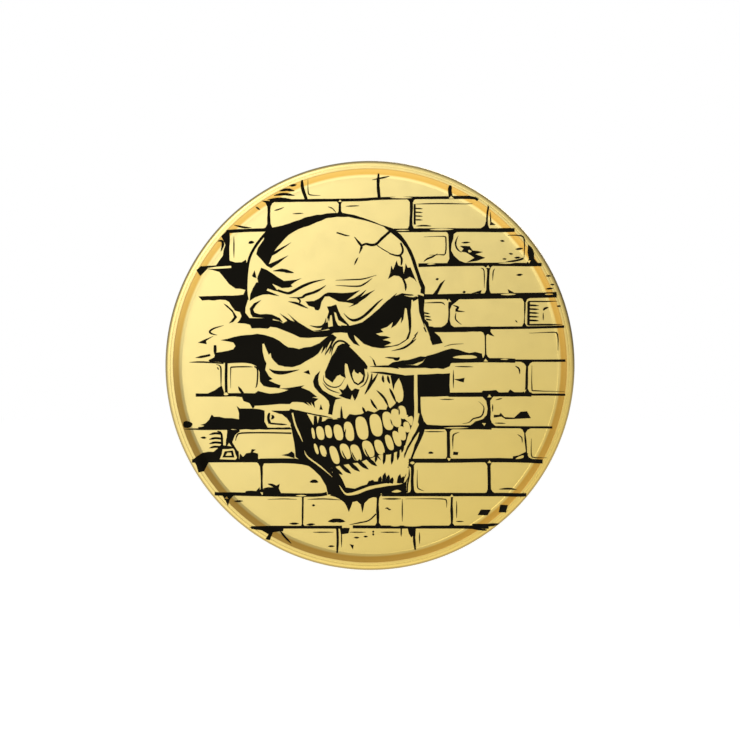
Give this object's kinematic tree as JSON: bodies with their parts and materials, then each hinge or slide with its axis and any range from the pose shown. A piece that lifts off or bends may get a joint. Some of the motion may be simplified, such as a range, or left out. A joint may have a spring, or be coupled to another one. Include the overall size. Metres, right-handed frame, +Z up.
{
  "type": "enamel pin",
  "caption": "Round enamel pin: raised-rim gold disc with black skull-and-brick-wall artwork, two rear posts and butterfly clutches.",
  "frame": {"origin": "centre of the flat back face that lies against the garment", "axes": "+Y out of the back towards the wearer, the artwork faces -Y, +Z up as worn, +X to the viewer's right"},
  "size_m": [0.038, 0.0104, 0.038],
  "materials": {
    "gold_plate": "polished gold plate",
    "black_enamel": "gloss black enamel",
    "post_nickel": "nickel plated",
    "solder": "dull solder",
    "clutch_brass": "brass plated"
  },
  "bodies": {
    "badge": {"struck_disc": "gold_plate", "enamel_mortar_top": "black_enamel", "enamel_mortar_right": "black_enamel", "enamel_mortar_bottom": "black_enamel", "enamel_breach_upper_left": "black_enamel", "enamel_breach_left": "black_enamel", "enamel_breach_lower_left": "black_enamel", "enamel_breach_right": "black_enamel", "enamel_cranium": "black_enamel", "enamel_brow": "black_enamel", "enamel_left_socket": "black_enamel", "enamel_right_socket": "black_enamel", "enamel_nose": "black_enamel", "enamel_cheekbone": "black_enamel", "enamel_upper_teeth": "black_enamel", "enamel_lower_teeth": "black_enamel", "enamel_chin": "black_enamel", "enamel_forehead_crack": "black_enamel", "left_post": "post_nickel", "left_solder": "solder", "right_post": "post_nickel", "right_solder": "solder"},
    "left_clutch": {"left_clutch_cup": "clutch_brass", "left_clutch_bridge": "clutch_brass"},
    "left_upper_wing": {"left_clutch_upper_wing": "clutch_brass"},
    "left_lower_wing": {"left_clutch_lower_wing": "clutch_brass"},
    "right_clutch": {"right_clutch_cup": "clutch_brass", "right_clutch_bridge": "clutch_brass"},
    "right_upper_wing": {"right_clutch_upper_wing": "clutch_brass"},
    "right_lower_wing": {"right_clutch_lower_wing": "clutch_brass"}
  },
  "joints": [
    {"name": "left_clutch_pull", "type": "slide", "parent": "badge", "child": "left_clutch", "axis": [0, 1, 0], "range_m": [-0.0006, 0.009]},
    {"name": "left_upper_wing_pinch", "type": "hinge", "parent": "left_clutch", "child": "left_upper_wing", "pos_m": [-0.01, 0.00325, 0.0041], "axis": [-1, 0, 0], "range_deg": [0, 12], "stiffness_Nm_per_rad": 0.0001},
    {"name": "left_lower_wing_pinch", "type": "hinge", "parent": "left_clutch", "child": "left_lower_wing", "pos_m": [-0.01, 0.00325, 0.0019], "axis": [1, 0, 0], "range_deg": [0, 12], "stiffness_Nm_per_rad": 0.0001},
    {"name": "right_clutch_pull", "type": "slide", "parent": "badge", "child": "right_clutch", "axis": [0, 1, 0], "range_m": [-0.0006, 0.009]},
    {"name": "right_upper_wing_pinch", "type": "hinge", "parent": "right_clutch", "child": "right_upper_wing", "pos_m": [0.01, 0.00325, 0.0041], "axis": [-1, 0, 0], "range_deg": [0, 12], "stiffness_Nm_per_rad": 0.0001},
    {"name": "right_lower_wing_pinch", "type": "hinge", "parent": "right_clutch", "child": "right_lower_wing", "pos_m": [0.01, 0.00325, 0.0019], "axis": [1, 0, 0], "range_deg": [0, 12], "stiffness_Nm_per_rad": 0.0001}
  ],
  "couplings": [
    {"joint": "left_lower_wing_pinch", "follows": "left_upper_wing_pinch", "ratio": 1},
    {"joint": "right_lower_wing_pinch", "follows": "right_upper_wing_pinch", "ratio": 1}
  ]
}
